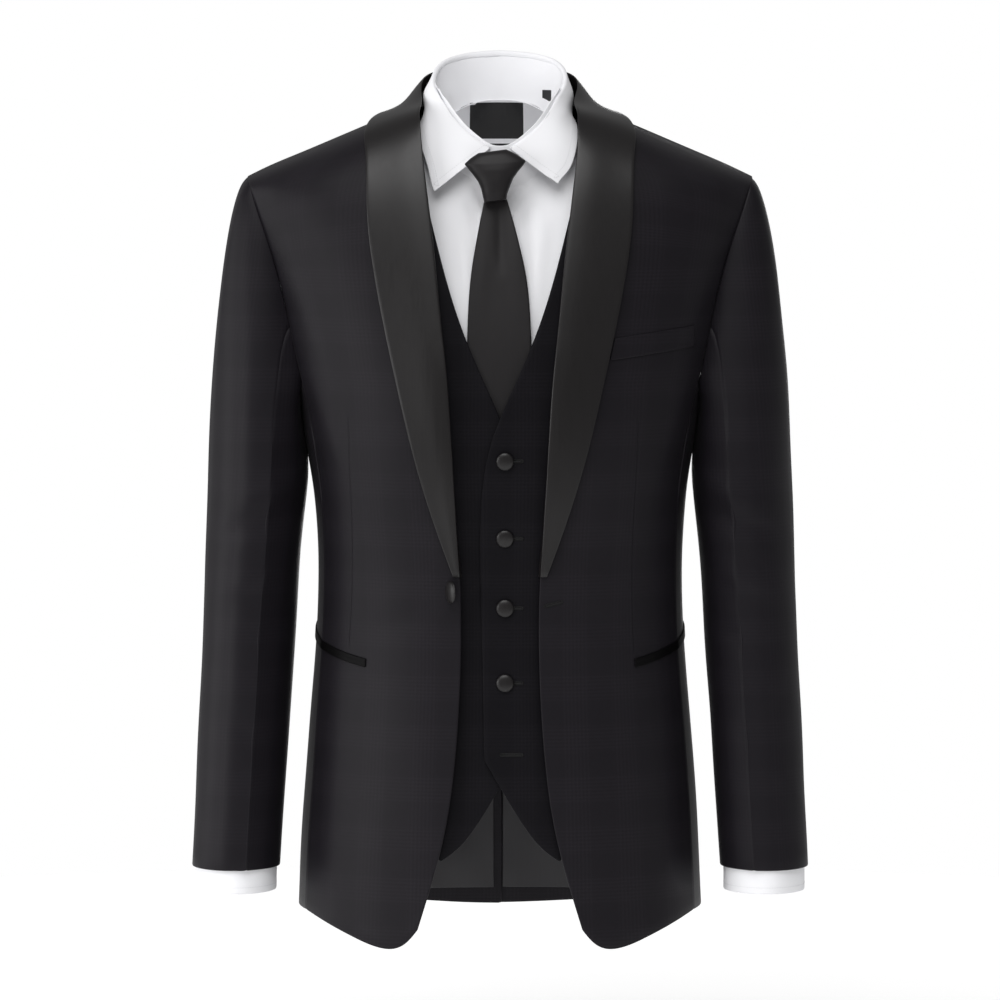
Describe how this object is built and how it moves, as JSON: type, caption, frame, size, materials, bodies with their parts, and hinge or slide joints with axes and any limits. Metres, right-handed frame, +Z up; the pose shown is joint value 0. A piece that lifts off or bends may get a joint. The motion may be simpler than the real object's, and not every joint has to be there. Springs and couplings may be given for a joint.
{
  "type": "tuxedo",
  "caption": "Shawl-collar dinner jacket worn open over a waistcoat, a white dress shirt and a long tie, as a hollow worn form.",
  "frame": {"origin": "midway between the two neck points of the jacket's shoulder seams, where it rests on its wearer", "axes": "+Z up, the wearer faces -Y, +X towards the wearer's left arm"},
  "size_m": [0.5672, 0.2845, 0.8097],
  "materials": {
    "wool": "fine worsted wool, matt, with a very faint tonal check",
    "satin": "silk satin with a soft lengthwise sheen",
    "lining": "smooth woven lining, slightly glossy",
    "tie": "charcoal silk, low sheen",
    "shirt": "white cotton poplin, matt",
    "label": "plain black woven tape"
  },
  "bodies": {
    "root": {"jacket_front_left": "wool", "jacket_back_left": "wool", "jacket_side_left": "wool", "jacket_sleeve_top_left": "wool", "jacket_sleeve_under_left": "wool", "waistcoat_front_left": "wool", "jacket_front_right": "wool", "jacket_back_right": "wool", "jacket_side_right": "wool", "jacket_sleeve_top_right": "wool", "jacket_sleeve_under_right": "wool", "waistcoat_front_right": "wool", "jacket_breast_welt": "wool", "jacket_collar_left": "satin", "jacket_pocket_upper_left": "satin", "jacket_pocket_lower_left": "satin", "jacket_collar_right": "satin", "jacket_pocket_upper_right": "satin", "jacket_pocket_lower_right": "satin", "jacket_button": "satin", "waistcoat_button_1": "satin", "waistcoat_button_2": "satin", "waistcoat_button_3": "satin", "waistcoat_button_4": "satin", "jacket_lining_left": "lining", "jacket_lining_right": "lining", "waistcoat_back": "lining", "tie_knot": "tie", "tie_blade": "tie", "tie_band": "tie", "shirt_front_left": "shirt", "shirt_sleeve_left": "shirt", "shirt_cuff_left": "shirt", "shirt_front_right": "shirt", "shirt_sleeve_right": "shirt", "shirt_cuff_right": "shirt", "shirt_yoke": "shirt", "shirt_back": "shirt", "shirt_placket": "shirt", "shirt_collar_stand": "shirt", "shirt_collar_fall": "shirt", "label_main": "label", "label_strip": "label", "label_size": "label"}
  },
  "joints": []
}
